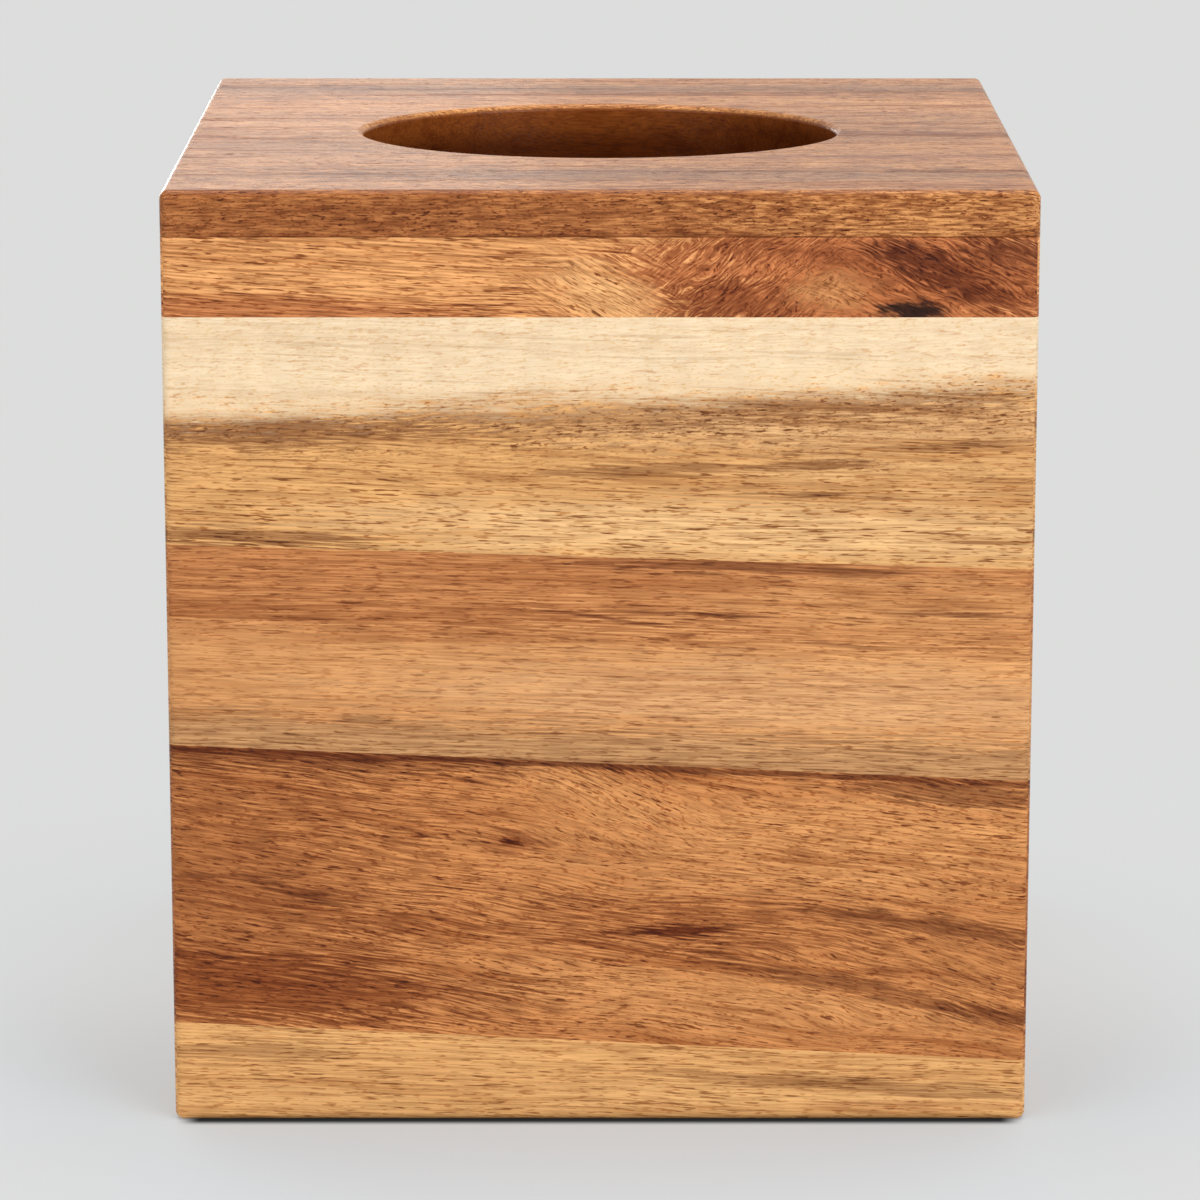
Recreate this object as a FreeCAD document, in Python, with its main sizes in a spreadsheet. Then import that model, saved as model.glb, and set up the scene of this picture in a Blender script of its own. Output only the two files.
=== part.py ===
"""Square cover for an upright box of tissues, made of edge-glued acacia.

Four walls are glued up from five staves each and mitred at the corners. A rebated
top board with an oval hole drops onto them. The bottom is open, so the cover goes
over the box of tissues from above.

Millimetres, +Z up. The origin is the middle of the footprint, and the front faces -Y.
"""
import FreeCAD, Part
import os

import Sketcher
from FreeCAD import Rotation, Vector

# Driving sizes: alias, value, what it measures
SIZES = (
    ("box_width", 135.0, "outside, left to right"),
    ("box_depth", 135.0, "outside, front to back"),
    ("box_height", 149.0, "outside, from the table to the top"),
    ("wall_thick", 10.0, "thickness of the wall staves"),
    ("rim_width", 12.4, "height of the stave under the top, all along"),
    ("cream_width", 37.7, "height of the pale stave at the middle of a wall"),
    ("amber_width", 33.0, "height of the orange stave at the middle of a wall"),
    ("foot_width", 13.2, "height of the stave on the table at the middle of a wall"),
    ("cream_fall", 4.0, "drop of the joint under the pale stave along a wall"),
    ("amber_fall", 5.9, "drop of the joint under the orange stave along a wall"),
    ("dark_fall", 6.4, "drop of the joint under the dark stave along a wall"),
    ("top_thick", 10.0, "thickness of the top board"),
    ("top_lip", 7.2, "edge of the top board that shows above the walls"),
    ("field_gap", 0.2, "clearance between the rebated field and the walls"),
    ("hole_long", 78.0, "oval hole, left to right, inside its round-over"),
    ("hole_short", 63.0, "oval hole, front to back, inside its round-over"),
    ("hole_round", 1.0, "round-over on the upper lip of the hole"),
    ("edge_round", 1.4, "round-over on the outside edges of the box"),
    ("seam_round", 0.3, "eased lower edge of the top board over the seam"),
    ("inner_ease", 0.5, "eased edges on the inside"),
    ("saw_allowance", 2.0, "extra wood on a stave before the walls are planed and sanded"),
)

WALL_HEIGHT = "Sizes.box_height - Sizes.top_lip"
INNER_WIDTH = "Sizes.box_width - 2 * Sizes.wall_thick"
INNER_DEPTH = "Sizes.box_depth - 2 * Sizes.wall_thick"

# Joints between the staves of a wall from the table up: the stave that ends there, the height of the
# joint at the middle of the wall, and its drop along the wall. The dark stave takes what the others leave.
CREAM_TOP = f"{WALL_HEIGHT} - Sizes.rim_width"
AMBER_TOP = f"{CREAM_TOP} - Sizes.cream_width"
DARK_TOP = f"{AMBER_TOP} - Sizes.amber_width"
JOINTS = (
    ("foot", "Sizes.foot_width", "Sizes.dark_fall"),
    ("dark", DARK_TOP, "Sizes.amber_fall"),
    ("amber", AMBER_TOP, "Sizes.cream_fall"),
    ("cream", CREAM_TOP, "0"),
    ("rim", f"{WALL_HEIGHT} + Sizes.saw_allowance", "0"),
)

# Walls in turn round the box: length, turn about +Z, first corner, and the way the joints drop,
# which changes from wall to wall so that the joints meet at every corner
WALLS = (
    ("front", "Sizes.box_width", 0, ("-Sizes.box_width / 2", "-Sizes.box_depth / 2"), "1"),
    ("right", "Sizes.box_depth", 90, ("Sizes.box_width / 2", "-Sizes.box_depth / 2"), "-1"),
    ("back", "Sizes.box_width", 180, ("Sizes.box_width / 2", "Sizes.box_depth / 2"), "1"),
    ("left", "Sizes.box_depth", 270, ("-Sizes.box_width / 2", "Sizes.box_depth / 2"), "-1"),
)


def make_sheet(doc):
    """Put the driving sizes in a sheet, one named cell each."""
    sheet = doc.addObject("Spreadsheet::Sheet", "Sizes")
    for row, (alias, value, meaning) in enumerate(SIZES, start=1):
        sheet.set(f"A{row}", alias)
        sheet.set(f"B{row}", str(value))
        sheet.set(f"C{row}", meaning)
        sheet.setAlias(f"B{row}", alias)
    doc.recompute()
    return sheet


def sketch_on(body, name, role):
    """Start an empty sketch on one of the body's own origin planes."""
    sketch = body.newObject("Sketcher::SketchObject", name)
    plane = next(item for item in body.Origin.OriginFeatures if item.Role == role)
    sketch.AttachmentSupport = [(plane, "")]
    sketch.MapMode = "FlatFace"
    return sketch


def bind(sketch, constraint, expression):
    """Add a dimension to a sketch and tie it to the sheet."""
    index = sketch.addConstraint(constraint)
    name = f"size_{index}"
    sketch.renameConstraint(index, name)
    sketch.setExpression(f"Constraints.{name}", expression)


def draw_polygon(sketch, corners):
    """Draw a closed outline whose corners are pairs of expressions, measured from the origin."""
    first = sketch.GeometryCount
    count = len(corners)
    points = [Vector(sketch.evalExpression(x), sketch.evalExpression(y), 0) for x, y in corners]
    for index in range(count):
        sketch.addGeometry(Part.LineSegment(points[index], points[(index + 1) % count]))
    for index, (x, y) in enumerate(corners):
        line = first + index
        following = first + (index + 1) % count
        sketch.addConstraint(Sketcher.Constraint("Coincident", line, 2, following, 1))
        bind(sketch, Sketcher.Constraint("DistanceX", -1, 1, line, 1, points[index].x), x)
        bind(sketch, Sketcher.Constraint("DistanceY", -1, 1, line, 1, points[index].y), y)


def draw_rectangle(sketch, width, depth):
    """Draw a rectangle centred on the origin."""
    right = f"({width}) / 2"
    left = f"-({width}) / 2"
    back = f"({depth}) / 2"
    front = f"-({depth}) / 2"
    draw_polygon(sketch, ((left, front), (right, front), (right, back), (left, back)))


def draw_oval(sketch, long_axis, short_axis):
    """Draw an ellipse centred on the origin, its long axis along X."""
    half_long = sketch.evalExpression(long_axis) / 2
    half_short = sketch.evalExpression(short_axis) / 2
    centre = Vector(0, 0, 0)
    oval = sketch.addGeometry(Part.Ellipse(Vector(half_long, 0, 0), Vector(0, half_short, 0), centre))
    sketch.exposeInternalGeometry(oval)
    long_line = oval + 1
    short_line = oval + 2
    sketch.addConstraint(Sketcher.Constraint("Coincident", oval, 3, -1, 1))
    sketch.addConstraint(Sketcher.Constraint("Horizontal", long_line))
    bind(sketch, Sketcher.Constraint("Distance", long_line, 2 * half_long), long_axis)
    bind(sketch, Sketcher.Constraint("Distance", short_line, 2 * half_short), short_axis)


def add_pad(body, sketch, name, length, downwards=False):
    """Raise a sketch into a solid on one side of its plane."""
    pad = body.newObject("PartDesign::Pad", name)
    pad.Profile = sketch
    pad.Reversed = downwards
    pad.setExpression("Length", length)
    return pad


def add_through_pocket(body, sketch, name):
    """Cut a sketch right through the body, both ways from its plane."""
    body.Document.recompute()
    volume_before = body.Tip.Shape.Volume
    pocket = body.newObject("PartDesign::Pocket", name)
    pocket.Profile = sketch
    pocket.Type = "ThroughAll"
    pocket.SideType = "Symmetric"
    body.Document.recompute()
    if pocket.Shape.Volume >= volume_before:
        raise RuntimeError(f"{body.Label}: {name} cuts nothing")
    return pocket


def round_over(body, name, radius, wanted):
    """Round over those edges of the body that the given test picks."""
    body.Document.recompute()
    base = body.Tip
    edges = [f"Edge{number}" for number, edge in enumerate(base.Shape.Edges, start=1) if wanted(edge)]
    if not edges:
        raise RuntimeError(f"{body.Label}: no edge for {name}")
    fillet = body.newObject("PartDesign::Fillet", name)
    fillet.Base = (base, edges)
    fillet.setExpression("Radius", radius)
    body.Document.recompute()
    return fillet


def same(first, second):
    """True where two lengths agree to the accuracy of the solids."""
    return abs(first - second) <= Part.Precision.approximation()


def at_height(edge, height):
    """True where an edge lies level at this height."""
    return same(edge.BoundBox.ZMin, height) and same(edge.BoundBox.ZMax, height)


def on_outline(edge, width, depth):
    """True where an edge lies on the sides of a rectangle centred on Z."""
    box = edge.BoundBox
    on_sides = same(box.XMin, box.XMax) and same(abs(box.XMax), width / 2)
    on_ends = same(box.YMin, box.YMax) and same(abs(box.YMax), depth / 2)
    return on_sides or on_ends


def upright_corner(edge, width, depth):
    """True where an edge stands upright at a corner of a rectangle centred on Z."""
    box = edge.BoundBox
    on_sides = same(box.XMin, box.XMax) and same(abs(box.XMax), width / 2)
    on_ends = same(box.YMin, box.YMax) and same(abs(box.YMax), depth / 2)
    return on_sides and on_ends


def make_sanded_walls(doc, sheet):
    """The ring of four walls as it leaves the sander: the outline that all staves share."""
    width = sheet.box_width
    depth = sheet.box_depth
    inner_width = sheet.evalExpression(INNER_WIDTH)
    inner_depth = sheet.evalExpression(INNER_DEPTH)
    body = doc.addObject("PartDesign::Body", "sanded_walls")
    plan = sketch_on(body, "walls_plan", "XY_Plane")
    draw_rectangle(plan, "Sizes.box_width", "Sizes.box_depth")
    draw_rectangle(plan, INNER_WIDTH, INNER_DEPTH)
    add_pad(body, plan, "walls_pad", WALL_HEIGHT)

    def outside(edge):
        on_table = at_height(edge, 0) and on_outline(edge, width, depth)
        return on_table or upright_corner(edge, width, depth)

    def mouth(edge):
        return at_height(edge, 0) and on_outline(edge, inner_width, inner_depth)

    round_over(body, "walls_outside", "Sizes.edge_round", outside)
    round_over(body, "walls_mouth", "Sizes.inner_ease", mouth)
    return body


def joint_heights(middle, fall, way, length):
    """Heights of a glue joint at the two sawn ends of a stave, first end first."""
    past_middle = f"({way}) * ({fall}) * (1 / 2 + Sizes.saw_allowance / ({length}))"
    return f"{middle} + {past_middle}", f"{middle} - {past_middle}"


def make_blank(doc, name, length, lower, upper):
    """A sawn stave with its two mitres, oversize on its faces and ends.

    Its own X runs along the wall from the wall's first corner and Y runs inwards.
    """
    body = doc.addObject("PartDesign::Body", f"{name}_blank")
    start = "-Sizes.saw_allowance"
    end = f"{length} + Sizes.saw_allowance"
    outline = sketch_on(body, f"{name}_outline", "XZ_Plane")
    draw_polygon(outline, ((start, lower[0]), (end, lower[1]), (end, upper[1]), (start, upper[0])))
    pad = add_pad(body, outline, f"{name}_pad", "Sizes.saw_allowance")
    pad.SideType = "Two sides"
    pad.setExpression("Length2", "Sizes.wall_thick + Sizes.saw_allowance")

    near = "-2 * Sizes.saw_allowance"
    deep = "Sizes.wall_thick + 2 * Sizes.saw_allowance"
    far = f"{length} + 2 * Sizes.saw_allowance"
    far_deep = f"{length} - Sizes.wall_thick - 2 * Sizes.saw_allowance"
    mitres = sketch_on(body, f"{name}_mitres", "XY_Plane")
    draw_polygon(mitres, ((near, near), (deep, deep), (near, deep)))
    draw_polygon(mitres, ((far, near), (far, deep), (far_deep, deep)))
    add_through_pocket(body, mitres, f"{name}_mitre_cuts")
    return body


def make_wall(doc, walls, wall, length, turn, corner, way):
    """Five staves of one wall: each is sawn, put in its place and brought to the sanded outline."""
    pieces = []
    lower = ("-Sizes.saw_allowance", "-Sizes.saw_allowance")
    for stave, middle, fall in JOINTS:
        name = f"{wall}_{stave}_stave"
        upper = joint_heights(middle, fall, way, length)
        blank = make_blank(doc, name, length, lower, upper)
        blank.Placement.Rotation = Rotation(Vector(0, 0, 1), turn)
        blank.setExpression("Placement.Base.x", corner[0])
        blank.setExpression("Placement.Base.y", corner[1])
        piece = doc.addObject("Part::Common", name)
        piece.Base = walls
        piece.Tool = blank
        pieces.append(piece)
        lower = upper
    return pieces


def make_top(doc, sheet):
    """The top board: a lip over the walls, a field between them and the oval hole."""
    width = sheet.box_width
    depth = sheet.box_depth
    lip = sheet.top_lip
    field = lip - sheet.top_thick
    body = doc.addObject("PartDesign::Body", "top_panel")
    body.setExpression("Placement.Base.z", WALL_HEIGHT)
    board = sketch_on(body, "top_outline", "XY_Plane")
    draw_rectangle(board, "Sizes.box_width", "Sizes.box_depth")
    add_pad(body, board, "top_board", "Sizes.top_lip")
    rebate = sketch_on(body, "field_outline", "XY_Plane")
    draw_rectangle(rebate, f"{INNER_WIDTH} - 2 * Sizes.field_gap", f"{INNER_DEPTH} - 2 * Sizes.field_gap")
    add_pad(body, rebate, "top_field", "Sizes.top_thick - Sizes.top_lip", downwards=True)
    oval = sketch_on(body, "hole_outline", "XY_Plane")
    draw_oval(oval, "Sizes.hole_long", "Sizes.hole_short")
    add_through_pocket(body, oval, "tissue_hole")

    def outside(edge):
        along_top = at_height(edge, lip) and on_outline(edge, width, depth)
        return along_top or upright_corner(edge, width, depth)

    def curved(edge):
        return edge.Closed

    round_over(body, "top_outside", "Sizes.edge_round", outside)
    round_over(body, "hole_lip", "Sizes.hole_round", lambda edge: curved(edge) and at_height(edge, lip))
    round_over(body, "hole_underside", "Sizes.inner_ease", lambda edge: curved(edge) and at_height(edge, field))
    round_over(body, "seam_edge", "Sizes.seam_round",
               lambda edge: at_height(edge, 0) and on_outline(edge, width, depth))
    return body


def check(doc, pieces):
    """Stop if anything in the document failed or a piece isn't one sound solid."""
    for item in doc.Objects:
        if "Invalid" in item.State or "Error" in item.State:
            raise RuntimeError(f"{item.Label} failed: {item.State}")
    for piece in pieces:
        if piece.Shape.isNull() or not piece.Shape.isValid() or len(piece.Shape.Solids) != 1:
            raise RuntimeError(f"{piece.Label} is not one sound solid")


def main():
    doc = FreeCAD.newDocument("tissue_box_cover")
    sheet = make_sheet(doc)
    walls = make_sanded_walls(doc, sheet)
    pieces = [make_top(doc, sheet)]
    for wall in WALLS:
        pieces += make_wall(doc, walls, *wall)
    doc.recompute()
    check(doc, pieces)
    os.makedirs("parts", exist_ok=True)
    for piece in pieces:
        piece.Shape.exportStep(f"parts/{piece.Label}.step")
        box = piece.Shape.BoundBox
        print(f"{piece.Label}: {box.XLength:.1f} x {box.YLength:.1f} x {box.ZLength:.1f} mm, "
              f"{piece.Shape.Volume:.0f} mm3")


main()
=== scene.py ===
"""Dresses the packed tissue box cover in oiled acacia and sets it in a pale studio."""

import math
from dataclasses import dataclass

import bmesh
import bpy
from bpy.props import FloatProperty
from bpy.props import FloatVectorProperty
from bpy.props import PointerProperty
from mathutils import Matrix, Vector


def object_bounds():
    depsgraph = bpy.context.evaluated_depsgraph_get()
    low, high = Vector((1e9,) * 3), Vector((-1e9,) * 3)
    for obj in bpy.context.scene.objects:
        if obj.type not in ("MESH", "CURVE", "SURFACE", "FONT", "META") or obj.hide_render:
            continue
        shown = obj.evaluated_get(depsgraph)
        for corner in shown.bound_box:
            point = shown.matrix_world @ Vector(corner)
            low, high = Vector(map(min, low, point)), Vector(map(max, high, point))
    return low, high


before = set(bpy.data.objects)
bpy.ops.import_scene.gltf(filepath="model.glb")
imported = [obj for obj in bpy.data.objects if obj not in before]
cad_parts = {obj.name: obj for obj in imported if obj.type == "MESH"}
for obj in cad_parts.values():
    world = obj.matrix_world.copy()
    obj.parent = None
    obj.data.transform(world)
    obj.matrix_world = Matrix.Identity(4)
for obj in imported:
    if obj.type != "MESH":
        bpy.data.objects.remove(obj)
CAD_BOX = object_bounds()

bl_info = {
    "name": "Tissue Box Cover",
    "version": (1, 0, 0),
    "blender": (4, 5, 0),
    "location": "View3D > Sidebar > Tissue Cover",
    "description": "Acacia finish and studio for a square tissue box cover",
    "category": "Object",
}

MILLIMETRES = 1000.0


def srgb(red, green, blue):
    """The linear colour of three screen values from 0 to 255."""
    linear = []
    for screen in (red, green, blue):
        share = screen / 255.0
        if share <= 0.04045:
            linear.append(share / 12.92)
        else:
            linear.append(((share + 0.055) / 1.055) ** 2.4)
    return tuple(linear)


def colour_setting(name, description, red, green, blue):
    """A colour that the panel shows, with its default in screen values."""
    return FloatVectorProperty(
        name=name,
        description=description,
        subtype="COLOR",
        size=3,
        min=0.0,
        max=1.0,
        default=srgb(red, green, blue),
    )


def length_setting(name, description, metres):
    """A length that the panel shows, with its default in metres."""
    return FloatProperty(
        name=name,
        description=description,
        unit="LENGTH",
        min=0.0,
        precision=5,
        default=metres,
    )


def share_setting(name, description, share):
    """A share from 0 to 1 that the panel shows."""
    return FloatProperty(
        name=name,
        description=description,
        subtype="FACTOR",
        min=0.0,
        max=1.0,
        default=share,
    )


def power_setting(name, description, watts):
    """A lamp's power that the panel shows."""
    return FloatProperty(name=name, description=description, unit="POWER", min=0.0, default=watts)


# Settings that a user would change

class TopPanelWood(bpy.types.PropertyGroup):
    """Colours of the board on top."""

    heartwood: colour_setting("Heartwood", "Main brown of the top board", 194, 133, 80)
    umber: colour_setting("Umber", "Dark streaks and the front edge", 158, 94, 50)
    smoke: colour_setting("Smoke", "Grey-brown streaks", 130, 86, 56)
    honey: colour_setting("Honey", "Lighter orange streaks", 216, 150, 90)
    # The hole's wall is end grain that takes more oil, and its darker colour also holds painted shade of the
    # hole
    cut: colour_setting("Cut", "Wall of the hole, where the oil soaks in", 140, 74, 28)
    # Painted shade: the hole's wall is painted darker towards its bottom and at its right end, where the
    # hole lies in shade
    deep: colour_setting("Deep", "Lower part of the wall of the hole", 88, 38, 8)


class RimWood(bpy.types.PropertyGroup):
    """Colours of the staves under the top board."""

    tan: colour_setting("Tan", "Straight-grained part", 222, 158, 100)
    pale: colour_setting("Pale", "Light patch beside the figured part", 230, 172, 114)
    russet: colour_setting("Russet", "Reddish figured part", 186, 112, 66)
    umber: colour_setting("Umber", "Darker clouds in the figured part", 134, 68, 34)
    flame: colour_setting("Flame", "Dark flame in the figured part", 90, 38, 18)
    bark: colour_setting("Bark", "Small black inclusion", 52, 28, 18)


class CreamWood(bpy.types.PropertyGroup):
    """Colours of the staves with the sapwood."""

    golden: colour_setting("Golden", "Lower part of the stave", 214, 160, 101)
    sapwood: colour_setting("Sapwood", "Pale upper part", 232, 208, 174)
    straw: colour_setting("Straw", "Lighter part along the lower joint", 231, 186, 131)
    smoke: colour_setting("Smoke", "Grey-brown streak under the sapwood", 151, 101, 60)


class AmberWood(bpy.types.PropertyGroup):
    """Colours of the staves in the middle."""

    amber: colour_setting("Amber", "Lighter lower part", 210, 150, 95)
    russet: colour_setting("Russet", "Redder upper part", 188, 122, 72)
    umber: colour_setting("Umber", "Dark streaks", 116, 60, 30)
    drab: colour_setting("Drab", "Greyish lower edge", 185, 136, 90)
    pale: colour_setting("Pale", "Lightest part, above the lower edge", 221, 171, 122)


class DarkWood(bpy.types.PropertyGroup):
    """Colours of the dark heartwood staves."""

    heartwood: colour_setting("Heartwood", "Main orange-brown", 196, 129, 75)
    honey: colour_setting("Honey", "Lighter part", 211, 148, 91)
    umber: colour_setting("Umber", "Dark flames", 132, 66, 26)
    soot: colour_setting("Soot", "Blackish streaks and the knot", 94, 36, 6)
    smoke: colour_setting("Smoke", "Greyish streaks on the right", 126, 70, 34)


class FootWood(bpy.types.PropertyGroup):
    """Colours of the staves at the bottom."""

    golden: colour_setting("Golden", "Main light gold", 219, 164, 104)
    straw: colour_setting("Straw", "Lighter streaks", 224, 172, 112)
    smoke: colour_setting("Smoke", "Grey-brown streaks", 150, 102, 60)
    russet: colour_setting("Russet", "Reddish streak", 184, 112, 64)


class OilFinish(bpy.types.PropertyGroup):
    """Pores and gloss that all the wood shares."""

    pore_width: length_setting("Pore Width", "Spacing of the pores across the grain", 0.00033)
    pore_depth: length_setting("Pore Depth", "Depth of the open pores", 0.00006)
    roughness: share_setting("Roughness", "Roughness of the oiled surface", 0.27)
    gloss: share_setting("Gloss", "How strongly the oiled surface mirrors", 0.16)


class StudioStage(bpy.types.PropertyGroup):
    """Floor, light and camera."""

    floor_colour: colour_setting("Floor", "Colour of the floor and the background", 220, 221, 220)
    # Painted light: the floor's colour near the walls is bluer, against the warm light that the wood throws
    # on it
    shade_colour: colour_setting("Shade", "Colour of the floor in the object's shade", 213, 220, 226)
    corner_colour: colour_setting("Corner Shade", "The same off the corners of the object", 215, 218, 220)
    floor_size: length_setting("Floor Size", "Half the side of the floor", 4.0)
    shadow_share: share_setting("Shadow", "How much of the real shade the floor shows", 0.66)
    shadow_reach: length_setting("Shadow Reach", "How far the shade goes out from the walls", 0.15)
    # Painted shadow: the dark line along the front and back walls is painted into the floor's colours
    painted_contact_reach: length_setting("Contact Reach", "How far the dark line along the walls goes out", 0.0026)
    sky_strength: FloatProperty(name="Sky", description="Strength of the even light", min=0.0, default=0.48)
    right_power: power_setting("Right", "Power of the lamp in front on the right", 9.0)
    left_power: power_setting("Left", "Power of the lamp in front on the left", 4.5)
    top_power: power_setting("Top", "Power of the lamp above", 8.6)
    sheen_power: power_setting("Sheen", "Power of the broad lamp behind", 0.68)
    edge_power: power_setting("Edge", "Power of the small low lamp behind on the left", 2.0)
    camera_distance: length_setting("Camera Distance", "From the object's middle to the camera", 0.8851)
    camera_height: length_setting("Camera Height", "From the floor to the camera", 0.2718)
    camera_pitch: FloatProperty(
        name="Camera Pitch",
        description="How far the camera looks down",
        subtype="ANGLE",
        default=math.radians(12.878),
    )
    camera_lens: FloatProperty(
        name="Lens",
        description="Focal length in millimetres",
        min=1.0,
        default=161.87,
    )


# Where the figure of each board lies

# Height that no mark reaches, in millimetres
ANY_HEIGHT = 1000.0


@dataclass(frozen=True)
class Mark:
    """A streak, flame, patch, knot, or patch of painted shade.

    It lies at (along, across) the board in millimetres, seen from outside. The half size is half
    its length and half its width. A calm mark shows less grain, a pale one golden grain.
    """

    name: str
    colour: str
    at: tuple
    half_size: tuple
    rise: float = 0.0
    softness: float = 0.5
    ragged: float = 0.3
    fray: float = 0.7
    strength: float = 1.0
    calm: float = 0.0
    below: float = ANY_HEIGHT
    pale: bool = False
    front_only: bool = False


@dataclass(frozen=True)
class Swirl:
    """A patch, placed like a mark, where the pores lie at another angle, in degrees, and curl."""

    at: tuple
    half_size: tuple
    angle: float
    pore_length: float
    curl: float = 0.0
    rise: float = 0.0
    softness: float = 0.35
    ragged: float = 0.4
    fray: float = 0.0
    below: float = ANY_HEIGHT


@dataclass(frozen=True)
class Board:
    """How the grain of one kind of board runs, in millimetres, and how strongly it shows."""

    base: str
    slope: float
    sway_height: float
    sway_length: float
    pore_length: float
    pore_share: float
    line_share: float
    fibre_share: float
    marks: tuple
    swirls: tuple = ()
    streak_share: float = 0.6
    ripple_share: float = 0.2
    mottle_share: float = 0.1


@dataclass(frozen=True)
class Wall:
    """How a wall's own coordinates lie: scaled, mirrored at the side walls and turned about the upright."""

    turn: float
    scale: tuple
    flip: float
    seed: float


# How much the depth in a wall counts, so that the strokes run on round its edges
DEPTH_SHARE = 0.25

WALLS = {
    "front": Wall(turn=0.0, scale=(1.0, DEPTH_SHARE, 1.0), flip=1.0, seed=0.0),
    "right": Wall(turn=-90.0, scale=(DEPTH_SHARE, -1.0, 1.0), flip=-1.0, seed=1.0),
    "back": Wall(turn=180.0, scale=(1.0, DEPTH_SHARE, 1.0), flip=-1.0, seed=2.0),
    "left": Wall(turn=90.0, scale=(DEPTH_SHARE, -1.0, 1.0), flip=1.0, seed=3.0),
}

# Fall of the two upper sloping joints per millimetre, from left to right on the front
WALL_WIDTH = 135.0
CREAM_FALL_SHARE = -4.0 / WALL_WIDTH
AMBER_FALL_SHARE = -5.9 / WALL_WIDTH

# Length of one curl of the pores in a swirl
CURL_LENGTH = 7.0

# Half length of a mark that runs past both ends of a board
ENDLESS = 300.0

# Half the length and width of the hole in the top board, and a hair more
HOLE_HALF_SIZE = (39.08, 31.58)
HOLE_SOFTNESS = 0.002

TOP_BOARD = Board(
    base="heartwood",
    slope=0.0,
    sway_height=2.4,
    sway_length=34.0,
    pore_length=1.4,
    pore_share=1.0,
    streak_share=0.9,
    line_share=0.1,
    fibre_share=1.0,
    mottle_share=0.5,
    marks=(
        Mark("back_smoke", "smoke", (0.0, 52.0), (120.0, 5.0), strength=0.6),
        Mark("back_line", "umber", (10.0, 44.5), (110.0, 1.6), strength=0.5),
        Mark("honey_band", "honey", (0.0, 30.0), (140.0, 10.0), strength=0.7),
        Mark("front_smoke", "smoke", (5.0, -50.0), (70.0, 7.0), strength=0.6),
        Mark("left_smoke", "smoke", (-40.0, -20.0), (30.0, 9.0), strength=0.3),
        Mark("right_dark", "umber", (52.0, -4.0), (28.0, 2.6), strength=0.7),
        Mark("right_light", "honey", (54.0, -19.0), (26.0, 4.5), strength=0.7),
        Mark("right_low", "umber", (50.0, -31.0), (34.0, 2.4), strength=0.7),
        Mark("left_light", "honey", (-54.0, 6.0), (26.0, 7.0), strength=0.35),
        Mark("left_dark", "umber", (-56.0, 39.0), (30.0, 1.6), strength=0.7),
        Mark("front_edge", "umber", (-40.0, -67.5), (90.0, 1.8), strength=0.85),
        Mark("gold_edge", "honey", (62.0, -67.5), (45.0, 1.8), strength=0.1),
        # The cut wall of the hole: darker end grain, and partly painted shade
        Mark(
            "hole_wall", "cut", (0.0, 0.0), HOLE_HALF_SIZE,
            softness=HOLE_SOFTNESS, ragged=0.0, fray=0.0, calm=0.5,
        ),
        # Painted shade: the wall of the hole darkens below this level
        Mark(
            "hole_deep", "deep", (0.0, 0.0), HOLE_HALF_SIZE,
            softness=HOLE_SOFTNESS, ragged=0.0, fray=0.0, below=144.5,
        ),
        # Painted shade: the right end of the hole's wall, which faces away from the brighter lamp on the
        # right
        Mark("hole_right", "deep", (38.0, 0.0), (32.0, 34.0), fray=0.0, below=147.5),
    ),
)

RIM_BOARD = Board(
    base="tan",
    slope=-0.06,
    sway_height=0.8,
    sway_length=40.0,
    pore_length=3.6,
    pore_share=0.95,
    line_share=0.2,
    fibre_share=0.9,
    ripple_share=0.1,
    mottle_share=0.2,
    marks=(
        Mark("lower_russet", "russet", (-58.0, 130.4), (42.0, 2.4), strength=0.8),
        Mark("figure", "russet", (46.0, 136.0), (42.0, 16.0), softness=0.3),
        Mark("figure_shade", "umber", (21.0, 131.5), (13.0, 3.5), strength=0.75),
        Mark("figure_top", "umber", (30.0, 139.0), (12.0, 2.0), rise=-0.1, strength=0.4),
        Mark("figure_cloud", "umber", (42.0, 136.5), (9.0, 4.0), strength=0.5),
        Mark("figure_light", "tan", (36.0, 133.4), (6.0, 2.6), strength=0.6),
        Mark("pale_patch", "pale", (0.0, 133.4), (7.5, 4.0), rise=-0.35),
        Mark("flame", "flame", (51.0, 137.6), (9.5, 2.6), rise=-0.26, strength=0.9),
        Mark("flame_low", "flame", (57.0, 133.3), (7.0, 2.0), rise=-0.3, strength=0.7),
        Mark("figure_end", "umber", (60.0, 136.0), (12.0, 6.0), strength=0.4),
        Mark("flame_end", "flame", (62.5, 139.4), (6.0, 3.0), strength=0.6),
        Mark(
            "inclusion", "bark", (48.2, 130.4), (5.2, 1.6),
            rise=0.02, ragged=0.5, fray=0.3, front_only=True,
        ),
    ),
    swirls=(
        Swirl((2.0, 133.0), (12.0, 7.0), angle=-24.0, pore_length=2.2, curl=0.6),
        Swirl((24.0, 136.0), (15.0, 14.0), angle=40.0, pore_length=1.1, curl=1.4),
        Swirl((54.0, 136.0), (18.0, 14.0), angle=-22.0, pore_length=1.4, curl=1.4),
    ),
)

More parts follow.
